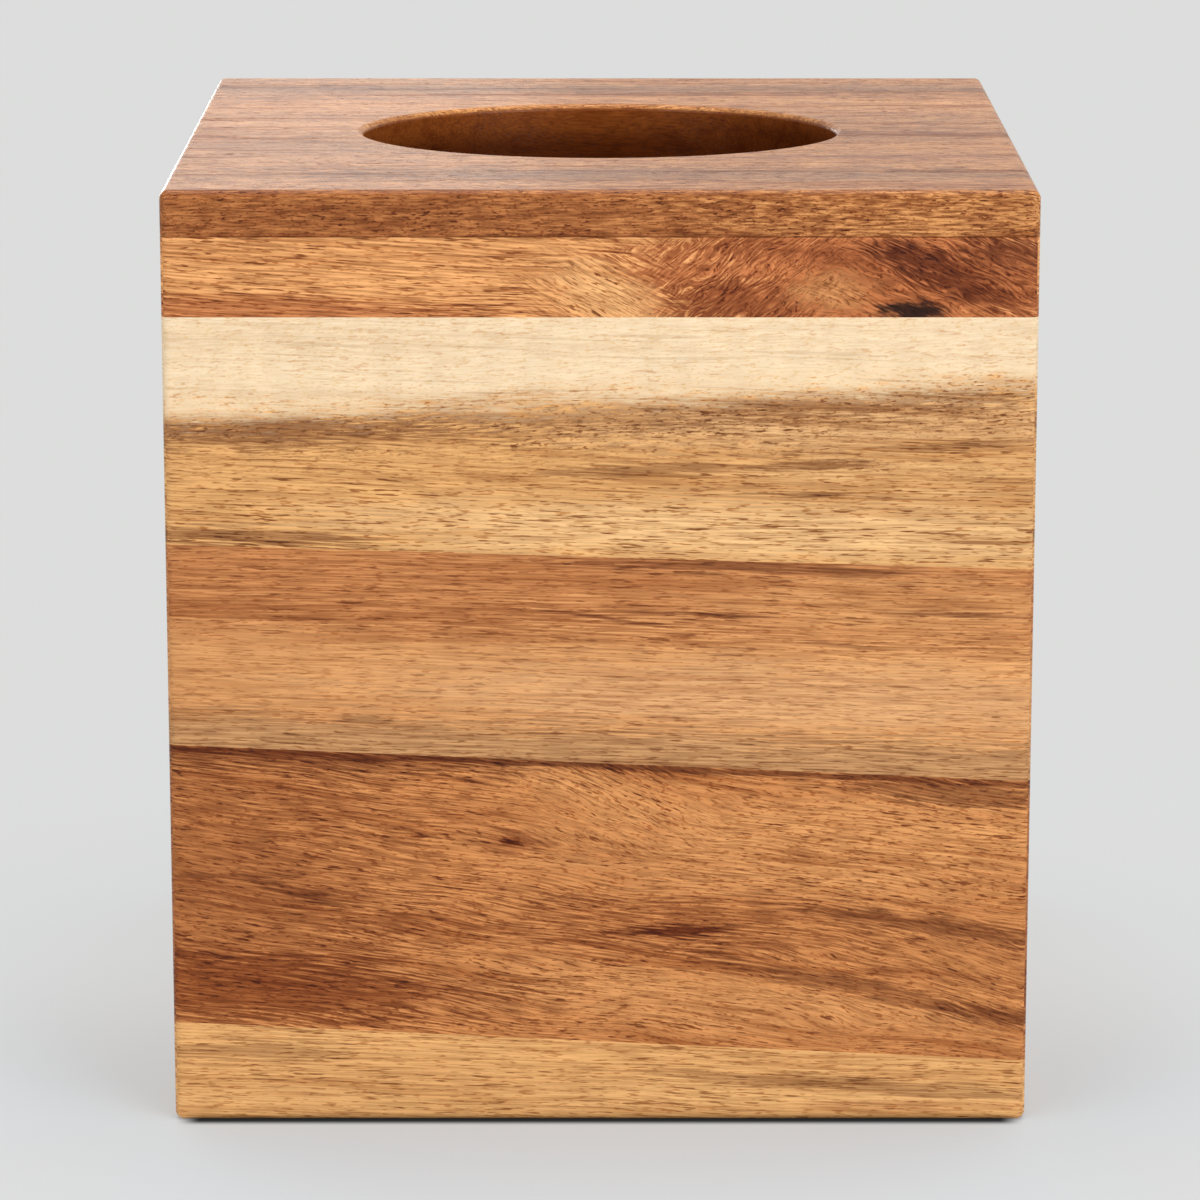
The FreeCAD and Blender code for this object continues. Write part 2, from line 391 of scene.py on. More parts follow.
CREAM_BOARD = Board(
    base="golden",
    slope=-0.03,
    sway_height=1.8,
    sway_length=70.0,
    pore_length=4.2,
    pore_share=0.95,
    line_share=0.7,
    fibre_share=0.6,
    marks=(
        Mark("right_haze", "sapwood", (42.0, 113.5), (50.0, 5.0), strength=0.15),
        Mark("right_gold", "straw", (46.0, 103.0), (30.0, 5.0), strength=0.35),
        Mark("straw_edge", "straw", (25.0, 96.0), (62.0, 4.5), rise=-0.02, strength=0.8),
        Mark("streak_left", "smoke", (-50.0, 111.9), (26.0, 2.3), rise=0.03, softness=0.9, fray=1.2),
        Mark(
            "streak_middle", "smoke", (4.0, 113.7), (46.0, 2.2),
            rise=0.03, softness=0.9, fray=1.2, strength=0.54,
        ),
        Mark(
            "streak_right", "smoke", (48.0, 117.0), (30.0, 2.0),
            rise=0.07, softness=0.9, fray=1.2, strength=0.66,
        ),
        Mark("second_streak", "smoke", (33.0, 106.2), (10.0, 0.8), rise=0.02, strength=0.8),
        Mark("second_tail", "smoke", (8.0, 105.6), (16.0, 0.8), rise=0.03, strength=0.6),
        Mark("low_line", "smoke", (32.0, 101.6), (8.0, 0.35), strength=0.8),
        Mark("third_streak", "smoke", (57.0, 109.5), (16.0, 0.7), rise=0.06, strength=0.4),
        Mark("blotch", "smoke", (-55.0, 94.9), (18.0, 1.5), rise=-0.03, strength=0.9),
        Mark(
            "sapwood", "sapwood", (0.0, 130.2), (ENDLESS, 13.8),
            rise=0.042, softness=0.22, ragged=0.1, fray=0.3, calm=0.68, pale=True,
        ),
    ),
    swirls=(Swirl((0.0, 128.0), (ENDLESS, 19.0), angle=3.5, pore_length=1.6),),
)

AMBER_BOARD = Board(
    base="amber",
    slope=-0.03,
    sway_height=0.8,
    sway_length=50.0,
    pore_length=3.8,
    pore_share=0.75,
    line_share=0.5,
    fibre_share=0.65,
    marks=(
        Mark(
            "upper", "russet", (0.0, 88.0), (ENDLESS, 10.0),
            rise=CREAM_FALL_SHARE, softness=0.6, strength=0.85,
        ),
        Mark("left_shade", "russet", (-62.0, 75.0), (50.0, 17.0), strength=0.55),
        Mark("right_light", "amber", (48.0, 84.0), (28.0, 4.5), rise=-0.03, strength=0.85),
        Mark("joint_shade", "umber", (20.0, 90.2), (26.0, 0.9), rise=-0.03, strength=0.7),
        Mark("dark_line", "umber", (0.7, 82.0), (9.0, 0.35), rise=-0.14, strength=0.9),
        Mark("next_line", "umber", (17.0, 82.5), (9.0, 0.3), rise=-0.03, strength=0.7),
        Mark("low_line", "umber", (37.0, 77.7), (8.0, 0.3), rise=-0.1, strength=0.7),
        Mark("right_line", "umber", (57.0, 82.5), (11.0, 0.5), rise=-0.05, strength=0.6),
        Mark("lower", "amber", (0.0, 71.0), (ENDLESS, 6.0), rise=-0.04, calm=0.25),
        Mark("lower_light", "pale", (30.0, 69.0), (60.0, 5.0), rise=-0.03, strength=0.5),
        Mark("drab_edge", "drab", (0.0, 60.0), (ENDLESS, 4.2), rise=AMBER_FALL_SHARE),
    ),
)

DARK_BOARD = Board(
    base="heartwood",
    slope=-0.13,
    sway_height=2.2,
    sway_length=38.0,
    pore_length=2.6,
    pore_share=0.95,
    streak_share=0.85,
    line_share=0.3,
    fibre_share=0.75,
    mottle_share=0.2,
    marks=(
        Mark("right_light", "honey", (38.0, 45.0), (42.0, 8.5), strength=0.8),
        Mark("low_light", "honey", (10.0, 20.0), (32.0, 5.0), rise=-0.1, strength=0.7),
        Mark("low_pale", "honey", (40.0, 18.6), (26.0, 2.0), rise=-0.16, strength=0.6),
        Mark("right_grey", "smoke", (56.0, 26.5), (17.0, 5.0), rise=-0.1, strength=0.2),
        Mark("flare", "honey", (-3.0, 54.5), (10.0, 3.0), rise=-0.2, strength=0.6),
        Mark("left_shade", "umber", (-66.0, 38.0), (36.0, 26.0), strength=0.5),
        Mark("low_shade", "umber", (-54.0, 22.0), (34.0, 5.5), rise=-0.05, strength=0.8),
        Mark("left_line", "soot", (-60.0, 40.3), (11.0, 0.6), strength=0.5),
        Mark("left_streak", "soot", (-46.5, 37.4), (7.0, 0.9), rise=-0.27, strength=0.55),
        Mark("patch", "umber", (12.0, 32.5), (23.0, 4.4), rise=-0.03, softness=0.9, fray=1.4, strength=0.62),
        Mark("patch_core", "soot", (11.0, 31.4), (8.0, 0.9), ragged=0.6, strength=0.9),
        Mark("right_streak", "smoke", (54.0, 32.0), (19.0, 1.6), rise=-0.14, strength=0.7),
        Mark("low_streak", "smoke", (45.0, 21.2), (27.0, 1.6), rise=-0.21, strength=0.62),
        Mark("right_end", "soot", (63.0, 17.4), (9.0, 1.4), rise=-0.1, strength=0.6),
        Mark("joint_shade", "soot", (-54.0, 60.2), (36.0, 2.6), rise=-0.05, strength=0.6),
        Mark("joint_line", "soot", (0.0, 58.2), (ENDLESS, 0.6), rise=AMBER_FALL_SHARE, strength=0.75),
        Mark("right_corner", "soot", (56.0, 53.8), (17.0, 2.0), rise=-0.08, strength=0.6),
        Mark("knot_halo", "umber", (-13.7, 45.9), (5.0, 1.8), strength=0.6),
        Mark("knot", "soot", (-13.7, 45.9), (1.7, 0.7), softness=0.6, ragged=0.4, front_only=True),
    ),
    swirls=(
        Swirl((3.0, 52.0), (15.0, 8.0), angle=-14.0, pore_length=2.0, curl=0.6),
        Swirl((48.0, 23.0), (26.0, 9.0), angle=-8.0, pore_length=2.4, curl=0.6),
    ),
)

FOOT_BOARD = Board(
    base="golden",
    slope=-0.04,
    sway_height=0.8,
    sway_length=40.0,
    pore_length=4.2,
    pore_share=0.8,
    line_share=0.4,
    fibre_share=0.5,
    marks=(
        Mark("straw_streak", "straw", (10.0, 4.0), (70.0, 2.5), strength=0.7),
        Mark("left_smoke", "smoke", (-54.0, 11.5), (14.0, 1.6), strength=0.5),
        Mark("right_smoke", "smoke", (40.0, 6.0), (30.0, 1.2), rise=-0.06, strength=0.6),
        Mark("right_russet", "russet", (48.0, 2.5), (20.0, 0.9), strength=0.25),
    ),
)


# Writing node trees

class NodeWriter:
    """Adds nodes to a tree. Most calls add one node and give back its output socket."""

    # Distance between two nodes in the editor
    COLUMN = 180.0

    # Numbers of the sockets of a Mix node, which go by the same names for values and colours
    MIX_VALUES = (0, 2, 3)
    MIXED_VALUE = 0
    MIX_COLOURS = (0, 6, 7)
    MIXED_COLOUR = 2

    def __init__(self, tree):
        self.tree = tree

    def feed(self, socket, value):
        """Links the input to a socket, or sets its own value."""
        if isinstance(value, bpy.types.NodeSocket):
            self.tree.links.new(value, socket)
        else:
            socket.default_value = value

    def add(self, kind, inputs=None, **settings):
        """The new node itself, with its settings and what feeds its inputs, by name or number."""
        node = self.tree.nodes.new(kind)
        node.location = (self.COLUMN * len(self.tree.nodes), 0.0)
        for name, value in settings.items():
            setattr(node, name, value)
        for name, value in (inputs or {}).items():
            self.feed(node.inputs[name], value)
        return node

    def math(self, operation, *values):
        node = self.add("ShaderNodeMath", dict(enumerate(values)), operation=operation)
        return node.outputs["Value"]

    def vector(self, operation, *values):
        node = self.add("ShaderNodeVectorMath", dict(enumerate(values)), operation=operation)
        return node.outputs["Vector"]

    def split(self, vector):
        """The three parts of a vector."""
        parts = self.add("ShaderNodeSeparateXYZ", {"Vector": vector}).outputs
        return parts["X"], parts["Y"], parts["Z"]

    def join(self, along, across, depth):
        """A vector of three parts."""
        node = self.add("ShaderNodeCombineXYZ", {"X": along, "Y": across, "Z": depth})
        return node.outputs["Vector"]

    def noise(self, vector, detail=1.0):
        """Noise in cells of size 1."""
        inputs = {"Vector": vector, "Scale": 1.0, "Detail": detail}
        return self.add("ShaderNodeTexNoise", inputs, noise_dimensions="3D").outputs["Fac"]

    def ramp(self, value, low, high, start=0.0, end=1.0):
        """Eases from start to end as the value goes from low to high."""
        inputs = {"Value": value, "From Min": low, "From Max": high, "To Min": start, "To Max": end}
        return self.add("ShaderNodeMapRange", inputs, interpolation_type="SMOOTHSTEP").outputs["Result"]

    def mix(self, share, first, second, blend="MIX"):
        """A colour between two others, or what the blend makes of them."""
        inputs = dict(zip(self.MIX_COLOURS, (share, first, second)))
        node = self.add("ShaderNodeMix", inputs, data_type="RGBA", blend_type=blend)
        return node.outputs[self.MIXED_COLOUR]

    def tint(self, share, colour, tone):
        """The colour multiplied by a tone, as far as the share says."""
        return self.mix(share, colour, tone, blend="MULTIPLY")

    def blend(self, share, first, second):
        """A value between two others."""
        inputs = dict(zip(self.MIX_VALUES, (share, first, second)))
        return self.add("ShaderNodeMix", inputs, data_type="FLOAT").outputs[self.MIXED_VALUE]

    def group(self, tree, **values):
        """Places a node group. Its inputs are named with underscores for spaces."""
        inputs = {name.replace("_", " ").title(): value for name, value in values.items()}
        return self.add("ShaderNodeGroup", inputs, node_tree=tree).outputs


def fresh_nodes(holder):
    """A writer for the emptied node tree of a material or a world."""
    holder.use_nodes = True
    holder.node_tree.nodes.clear()
    return NodeWriter(holder.node_tree)


def new_group(name, inputs, outputs):
    """An empty shader node group, its writer, its input sockets and its output sockets."""
    tree = bpy.data.node_groups.new(name, "ShaderNodeTree")
    for socket_name, socket_type in inputs.items():
        tree.interface.new_socket(socket_name, in_out="INPUT", socket_type=socket_type)
    for socket_name, socket_type in outputs.items():
        tree.interface.new_socket(socket_name, in_out="OUTPUT", socket_type=socket_type)
    writer = NodeWriter(tree)
    given = writer.add("NodeGroupInput").outputs
    result = writer.add("NodeGroupOutput").inputs
    return tree, writer, given, result


VALUE = "NodeSocketFloat"
VECTOR = "NodeSocketVector"
COLOUR = "NodeSocketColor"


def values(*names):
    """Value sockets of those names for a new group."""
    return dict.fromkeys(names, VALUE)


# How far apart two seeds take their pieces of the pattern, in millimetres
SEED_STEP = (137.0, 71.0, 43.0)

# How far the seeds of two patterns, marks or swirls of one board lie apart
PORE_SEED_STEP = 0.21
SMALL_PORE_SEED_STEP = 0.37
MARK_SEED_STEP = 0.1
SWIRL_SEED_STEP = 0.13

# Length along the grain and width across it of each pattern's cells, in millimetres
BROAD_STREAK_CELL = (110.0, 4.5)
NARROW_STREAK_CELL = (22.0, 0.9)
LINE_CELL = (24.0, 0.5)
RIPPLE_CELL = (3.5, 14.0)
MOTTLE_CELL = (6.0, 2.4)
CLUSTER_CELL = (24.0, 3.5)

# The same against a pore's length and width
FIBRE_LENGTH_SHARE = 2.2
FIBRE_WIDTH_SHARE = 0.9
SMALL_PORE_LENGTH_SHARE = 0.5

# Width of a sway of the grain against its length
SWAY_WIDTH_SHARE = 0.3

# Noise values between which each pattern comes in. Noise lies about its middle.
NOISE_MIDDLE = 0.5
DARK_STREAK_RANGE = (NOISE_MIDDLE, 0.63)
LIGHT_STREAK_RANGE = (NOISE_MIDDLE, 0.37)
LINE_RANGE = (0.63, 0.7)
RIPPLE_RANGE = (0.3, 0.7)
MOTTLE_RANGE = (0.46, 0.66)
FIBRE_RANGE = (0.3, 0.7)
CLUSTER_RANGE = (0.35, 0.65)
SMALL_PORE_RANGE = (0.57, 0.68)

# Where pores begin between the clusters and within them, and how softly
SPARSE_PORE_EDGE = 0.67
DENSE_PORE_EDGE = 0.6
PORE_EDGE_WIDTH = 0.07

# What the ripples multiply the colour by
RIPPLE_DARK = 0.86
RIPPLE_LIGHT = 1.1

# How far noise moves the edge of a mark, in half sizes of the mark
TEAR_REACH = 4.0
FRAY_REACH = 3.0

# Largest cells of the tears at the edge of a mark, in millimetres, and against half its size
TEAR_CELL = (22.0, 2.0)
TEAR_LENGTH_SHARE = 0.6
TEAR_WIDTH_SHARE = 0.8

# Half the height over which a mark fades out below a level, in millimetres
LEVEL_EASE = 3.0

# How the pores and dark streaks dull the surface, how deep the small pores are against the others,
# and how strongly all of them show as dents
PORE_ROUGHNESS = 0.2
STREAK_ROUGHNESS = 0.1
SMALL_PORE_DEPTH_SHARE = 0.4
PORE_BUMP_SHARE = 0.3

# What a full mask multiplies the wood's colour by
LIFT_TINT = (1.13, 1.13, 1.13, 1.0)
DARK_STREAK_TINT = (0.64, 0.5, 0.38, 1.0)
LIGHT_STREAK_TINT = (1.1, 1.13, 1.13, 1.0)
LINE_TINT = (0.5, 0.38, 0.28, 1.0)
MOTTLE_TINT = (0.6, 0.44, 0.36, 1.0)
LIGHT_FIBRE_TINT = (1.22, 1.27, 1.3, 1.0)
DARK_FIBRE_TINT = (0.55, 0.47, 0.4, 1.0)
SMALL_PORE_TINT = (0.63, 0.47, 0.35, 1.0)
PORE_TINT = (0.36, 0.22, 0.13, 1.0)

# The same for pale wood, where the strokes are golden
PALE_FIBRE_TINT = (0.8, 0.52, 0.12, 1.0)
PALE_SMALL_PORE_TINT = (0.8, 0.56, 0.16, 1.0)
PALE_PORE_TINT = (0.62, 0.24, 0.0, 1.0)


def stretched(writer, vector, seed, length, width):
    """Coordinates in cells that are long along the grain, moved to another place for each seed."""
    placed = writer.vector("MULTIPLY", seed, SEED_STEP)
    moved = writer.vector("ADD", vector, placed)
    cell = writer.join(length, width, width)
    return writer.vector("DIVIDE", moved, cell)


def make_flow_group():
    """Bends straight board coordinates so that the grain slopes and sways."""
    tree, writer, given, result = new_group(
        "Grain Flow",
        {"Vector": VECTOR, **values("Slope", "Sway Height", "Sway Length", "Seed")},
        {"Vector": VECTOR},
    )
    along, across, depth = writer.split(given["Vector"])
    sway_width = writer.math("MULTIPLY", given["Sway Length"], SWAY_WIDTH_SHARE)
    place = stretched(writer, given["Vector"], given["Seed"], given["Sway Length"], sway_width)
    sway = writer.math("SUBTRACT", writer.noise(place), NOISE_MIDDLE)
    sway = writer.math("MULTIPLY", sway, given["Sway Height"])
    sway = writer.math("DIVIDE", sway, NOISE_MIDDLE)
    climb = writer.math("MULTIPLY", along, given["Slope"])
    across = writer.math("SUBTRACT", across, climb)
    across = writer.math("ADD", across, sway)
    writer.feed(result["Vector"], writer.join(along, across, depth))
    return tree


def make_stroke_group():
    """Fibres, pores and small pores: noise drawn out along the grain."""
    tree, writer, given, result = new_group(
        "Grain Strokes",
        {"Vector": VECTOR, **values("Seed", "Length", "Width")},
        values("Fibre", "Pore", "Small Pore"),
    )
    vector = given["Vector"]
    seed = given["Seed"]
    length = given["Length"]
    width = given["Width"]
    fibre_width = writer.math("MULTIPLY", width, FIBRE_WIDTH_SHARE)
    fibre_length = writer.math("MULTIPLY", length, FIBRE_LENGTH_SHARE)
    fibre_place = stretched(writer, vector, seed, fibre_length, fibre_width)
    writer.feed(result["Fibre"], writer.noise(fibre_place, detail=2.0))
    cluster = writer.noise(stretched(writer, vector, seed, *CLUSTER_CELL))
    edge = writer.ramp(cluster, *CLUSTER_RANGE, start=SPARSE_PORE_EDGE, end=DENSE_PORE_EDGE)
    pore_seed = writer.math("ADD", seed, PORE_SEED_STEP)
    pore = writer.noise(stretched(writer, vector, pore_seed, length, width))
    full = writer.math("ADD", edge, PORE_EDGE_WIDTH)
    writer.feed(result["Pore"], writer.ramp(pore, edge, full))
    small_seed = writer.math("ADD", seed, SMALL_PORE_SEED_STEP)
    small_length = writer.math("MULTIPLY", length, SMALL_PORE_LENGTH_SHARE)
    small = writer.noise(stretched(writer, vector, small_seed, small_length, fibre_width))
    writer.feed(result["Small Pore"], writer.ramp(small, *SMALL_PORE_RANGE))
    return tree


def make_mark_group():
    """The mask of one streak, flame, patch, knot or patch of painted shade, ragged at its edge and frayed
    along the strokes.
    """
    tree, writer, given, result = new_group(
        "Figure Mark",
        {
            "Vector": VECTOR,
            **values("Along", "Across", "Half Length", "Half Width", "Rise", "Softness", "Ragged"),
            **values("Tear Length", "Tear Width", "Fray", "Fibre", "Below", "Seed"),
        },
        values("Mask"),
    )
    along, across, depth = writer.split(given["Vector"])
    along = writer.math("SUBTRACT", along, given["Along"])
    across = writer.math("SUBTRACT", across, given["Across"])
    climb = writer.math("MULTIPLY", along, given["Rise"])
    across = writer.math("SUBTRACT", across, climb)
    along = writer.math("DIVIDE", along, given["Half Length"])
    across = writer.math("DIVIDE", across, given["Half Width"])
    along = writer.math("MULTIPLY", along, along)
    across = writer.math("MULTIPLY", across, across)
    reach = writer.math("SQRT", writer.math("ADD", along, across))
    place = stretched(writer, given["Vector"], given["Seed"], given["Tear Length"], given["Tear Width"])
    tear = writer.math("SUBTRACT", writer.noise(place, detail=3.0), NOISE_MIDDLE)
    tear = writer.math("MULTIPLY", tear, given["Ragged"])
    reach = writer.math("MULTIPLY_ADD", tear, TEAR_REACH, reach)
    loose = writer.math("SUBTRACT", NOISE_MIDDLE, given["Fibre"])
    loose = writer.math("MULTIPLY", loose, given["Fray"])
    reach = writer.math("MULTIPLY_ADD", loose, FRAY_REACH, reach)
    inner = writer.math("SUBTRACT", 1.0, given["Softness"])
    outer = writer.math("ADD", 1.0, given["Softness"])
    mask = writer.ramp(reach, inner, outer, start=1.0, end=0.0)
    lowest = writer.math("SUBTRACT", given["Below"], LEVEL_EASE)
    highest = writer.math("ADD", given["Below"], LEVEL_EASE)
    under = writer.ramp(depth, lowest, highest, start=1.0, end=0.0)
    writer.feed(result["Mask"], writer.math("MULTIPLY", mask, under))
    return tree


def make_surface_group():
    """Streaks, lines, ripples, mottling, fibres and pores over a board's own colours."""
    tree, writer, given, result = new_group(
        "Acacia Surface",
        {
            "Colour": COLOUR,
            "Vector": VECTOR,
            **values("Seed", "Fibre", "Pore", "Small Pore", "Streak Share", "Line Share"),
            **values("Fibre Share", "Ripple Share", "Mottle Share", "Pore Share", "Pale Share"),
            **values("Roughness"),
        },
        {"Colour": COLOUR, **values("Roughness", "Height")},
    )
    vector = given["Vector"]
    seed = given["Seed"]

    # Lifted first, because what follows darkens more than it lightens
    colour = writer.tint(1.0, given["Colour"], LIFT_TINT)

    broad = writer.noise(stretched(writer, vector, seed, *BROAD_STREAK_CELL), detail=2.0)
    narrow = writer.noise(stretched(writer, vector, seed, *NARROW_STREAK_CELL), detail=3.0)
    streak = writer.math("ADD", broad, narrow)
    streak = writer.math("DIVIDE", streak, 2.0)
    dark = writer.math("MULTIPLY", writer.ramp(streak, *DARK_STREAK_RANGE), given["Streak Share"])
    light = writer.math("MULTIPLY", writer.ramp(streak, *LIGHT_STREAK_RANGE), given["Streak Share"])
    colour = writer.tint(dark, colour, DARK_STREAK_TINT)
    colour = writer.tint(light, colour, LIGHT_STREAK_TINT)

    line = writer.noise(stretched(writer, vector, seed, *LINE_CELL))
    line = writer.math("MULTIPLY", writer.ramp(line, *LINE_RANGE), given["Line Share"])
    colour = writer.tint(line, colour, LINE_TINT)

    ripple = writer.noise(stretched(writer, vector, seed, *RIPPLE_CELL))
    ripple_tone = writer.ramp(ripple, *RIPPLE_RANGE, start=RIPPLE_DARK, end=RIPPLE_LIGHT)
    colour = writer.tint(given["Ripple Share"], colour, ripple_tone)

    mottle = writer.noise(stretched(writer, vector, seed, *MOTTLE_CELL), detail=2.0)
    mottle = writer.math("MULTIPLY", writer.ramp(mottle, *MOTTLE_RANGE), given["Mottle Share"])
    colour = writer.tint(mottle, colour, MOTTLE_TINT)

    pale = given["Pale Share"]
    dark_fibre = writer.mix(pale, DARK_FIBRE_TINT, PALE_FIBRE_TINT)
    fibre_tone = writer.mix(writer.ramp(given["Fibre"], *FIBRE_RANGE), LIGHT_FIBRE_TINT, dark_fibre)
    colour = writer.tint(given["Fibre Share"], colour, fibre_tone)
    small = writer.math("MULTIPLY", given["Small Pore"], given["Pore Share"])
    pore = writer.math("MULTIPLY", given["Pore"], given["Pore Share"])
    small_tint = writer.mix(pale, SMALL_PORE_TINT, PALE_SMALL_PORE_TINT)
    pore_tint = writer.mix(pale, PORE_TINT, PALE_PORE_TINT)
    colour = writer.tint(small, colour, small_tint)
    colour = writer.tint(pore, colour, pore_tint)

    roughness = writer.math("MULTIPLY_ADD", pore, PORE_ROUGHNESS, given["Roughness"])
    roughness = writer.math("MULTIPLY_ADD", dark, STREAK_ROUGHNESS, roughness)
    low = writer.math("MULTIPLY_ADD", small, SMALL_PORE_DEPTH_SHARE, pore)
    writer.feed(result["Colour"], colour)
    writer.feed(result["Roughness"], roughness)
    writer.feed(result["Height"], writer.math("SUBTRACT", 1.0, low))
    return tree


WOOD_GROUPS = {
    "Grain Flow": make_flow_group,
    "Grain Strokes": make_stroke_group,
    "Figure Mark": make_mark_group,
    "Acacia Surface": make_surface_group,
}


def wood_group(name):
    """The shared group of that name, built the first time it is asked for."""
    tree = bpy.data.node_groups.get(name)
    if tree is None:
        tree = WOOD_GROUPS[name]()
    return tree


def opaque(colour):
    """A panel colour with full alpha, as a colour socket takes it."""
    return (colour[0], colour[1], colour[2], 1.0)


def board_mask(writer, vector, spot, flip, seed, fibre=NOISE_MIDDLE):
    """The mask of a mark or a swirl on a board, mirrored along it where the wall asks for that."""
    along, across = spot.at
    half_length, half_width = spot.half_size
    tear_length, tear_width = TEAR_CELL
    return writer.group(
        wood_group("Figure Mark"),
        vector=vector,
        along=along * flip,
        across=across,
        half_length=half_length,
        half_width=half_width,
        rise=spot.rise,
        softness=spot.softness,
        ragged=spot.ragged,
        tear_length=min(tear_length, half_length * TEAR_LENGTH_SHARE),
        tear_width=min(tear_width, half_width * TEAR_WIDTH_SHARE),
        fray=spot.fray,
        fibre=fibre,
        below=spot.below,
        seed=seed,
    )["Mask"]


def board_strokes(writer, board, millimetre, grain, width, flip, seed):
    """The board's fibres, pores and small pores, with the swirls laid over the straight grain."""
    strokes = writer.group(
        wood_group("Grain Strokes"),
        vector=grain,
        seed=seed,
        length=board.pore_length,
        width=width,
    )
    fibre = strokes["Fibre"]
    pore = strokes["Pore"]
    small_pore = strokes["Small Pore"]
    for number, swirl in enumerate(board.swirls):
        turn = (0.0, 0.0, math.radians(-swirl.angle))
        place = writer.add("ShaderNodeMapping", {"Vector": grain, "Rotation": turn}, vector_type="POINT")
        curled = writer.group(
            wood_group("Grain Flow"),
            vector=place.outputs["Vector"],
            sway_height=swirl.curl,
            sway_length=CURL_LENGTH,
            seed=seed,
        )["Vector"]
        turned = writer.group(
            wood_group("Grain Strokes"),
            vector=curled,
            seed=seed,
            length=swirl.pore_length,
            width=width,
        )
        share = board_mask(writer, millimetre, swirl, flip, seed + SWIRL_SEED_STEP * number)
        fibre = writer.blend(share, fibre, turned["Fibre"])
        pore = writer.blend(share, pore, turned["Pore"])
        small_pore = writer.blend(share, small_pore, turned["Small Pore"])
    return fibre, pore, small_pore


def board_material(name, board, palette, finish, turn, scale, flip, seed):
    """An oiled board of its own colours, its figure placed in millimetres."""
    material = bpy.data.materials.new(name)
    writer = fresh_nodes(material)

    place = writer.add("ShaderNodeTexCoord").outputs["Object"]
    inputs = {"Vector": place, "Rotation": turn, "Scale": scale}
    millimetre = writer.add("ShaderNodeMapping", inputs, vector_type="POINT").outputs["Vector"]

    grain = writer.group(
        wood_group("Grain Flow"),
        vector=millimetre,
        slope=board.slope,
        sway_height=board.sway_height,
        sway_length=board.sway_length,
        seed=seed,
    )["Vector"]
    pore_width = finish.pore_width * MILLIMETRES
    fibre, pore, small_pore = board_strokes(writer, board, millimetre, grain, pore_width, flip, seed)

    colour = opaque(getattr(palette, board.base))
    kept = 1.0
    pale = 0.0
    for number, mark in enumerate(board.marks):
        if mark.front_only and seed:
            continue
        mask = board_mask(writer, millimetre, mark, flip, seed + MARK_SEED_STEP * number, fibre)
        mask.node.label = mark.name
        shown = writer.math("MULTIPLY", mask, mark.strength)
        colour = writer.mix(shown, colour, opaque(getattr(palette, mark.colour)))
        if mark.calm:
            rest = writer.math("MULTIPLY_ADD", mask, -mark.calm, 1.0)
            kept = writer.math("MULTIPLY", rest, kept)
        if mark.pale:
            pale = mask

    surface = writer.group(
        wood_group("Acacia Surface"),
        colour=colour,
        vector=grain,
        seed=seed,
        fibre=fibre,
        pore=pore,
        small_pore=small_pore,
        streak_share=writer.math("MULTIPLY", kept, board.streak_share),
        line_share=writer.math("MULTIPLY", kept, board.line_share),
        fibre_share=writer.math("MULTIPLY", kept, board.fibre_share),
        ripple_share=board.ripple_share,
        mottle_share=board.mottle_share,
        pore_share=writer.math("MULTIPLY", kept, board.pore_share),
        pale_share=pale,
        roughness=finish.roughness,
    )
    inputs = {"Strength": PORE_BUMP_SHARE, "Distance": finish.pore_depth, "Height": surface["Height"]}
    bump = writer.add("ShaderNodeBump", inputs)
    inputs = {
        "Base Color": surface["Colour"],
        "Roughness": surface["Roughness"],
        "Specular IOR Level": finish.gloss,
        "Normal": bump.outputs["Normal"],
    }
    shader = writer.add("ShaderNodeBsdfPrincipled", inputs)
    writer.add("ShaderNodeOutputMaterial", {"Surface": shader.outputs["BSDF"]})
    return material


def dress(node, material):
    """Gives a packed solid its one material."""
    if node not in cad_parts:
        raise RuntimeError("the packed model has no solid named " + node)
    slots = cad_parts[node].data.materials
    slots.clear()
    slots.append(material)


def dress_staves(scene, kind, board):
    """Gives the stave of one kind on each wall its own cut of the same wood."""
    palette = getattr(scene, "tissue_cover_" + kind)
    for side, wall in WALLS.items():
        material = board_material(
            kind + "_acacia_" + side,
            board,
            palette,
            scene.tissue_cover_finish,
            turn=(math.radians(-90.0), math.radians(wall.turn), 0.0),
            scale=tuple(MILLIMETRES * share for share in wall.scale),
            flip=wall.flip,
            seed=wall.seed,
        )
        dress(side + "_" + kind + "_stave", material)


# Operators, one for each group of like pieces and one for the stage

class TISSUE_COVER_OT_dress_top_panel(bpy.types.Operator):
    """Finish the board on top"""

    bl_idname = "tissue_cover.dress_top_panel"
    bl_label = "Dress Top Panel"

    def execute(self, context):
        scene = context.scene
        material = board_material(
            "top_acacia",
            TOP_BOARD,
            scene.tissue_cover_top,
            scene.tissue_cover_finish,
            turn=(0.0, 0.0, 0.0),
            scale=(MILLIMETRES, MILLIMETRES, MILLIMETRES),
            flip=1.0,
            seed=5.0,
        )
        dress("top_panel", material)
        return {"FINISHED"}


class TISSUE_COVER_OT_dress_rim_staves(bpy.types.Operator):
    """Finish the narrow staves under the top board"""

    bl_idname = "tissue_cover.dress_rim_staves"
    bl_label = "Dress Rim Staves"

    def execute(self, context):
        dress_staves(context.scene, "rim", RIM_BOARD)
        return {"FINISHED"}


class TISSUE_COVER_OT_dress_cream_staves(bpy.types.Operator):
    """Finish the staves with the pale sapwood"""

    bl_idname = "tissue_cover.dress_cream_staves"
    bl_label = "Dress Cream Staves"

    def execute(self, context):
        dress_staves(context.scene, "cream", CREAM_BOARD)
        return {"FINISHED"}


class TISSUE_COVER_OT_dress_amber_staves(bpy.types.Operator):
    """Finish the staves in the middle"""

    bl_idname = "tissue_cover.dress_amber_staves"
    bl_label = "Dress Amber Staves"

    def execute(self, context):
        dress_staves(context.scene, "amber", AMBER_BOARD)
        return {"FINISHED"}


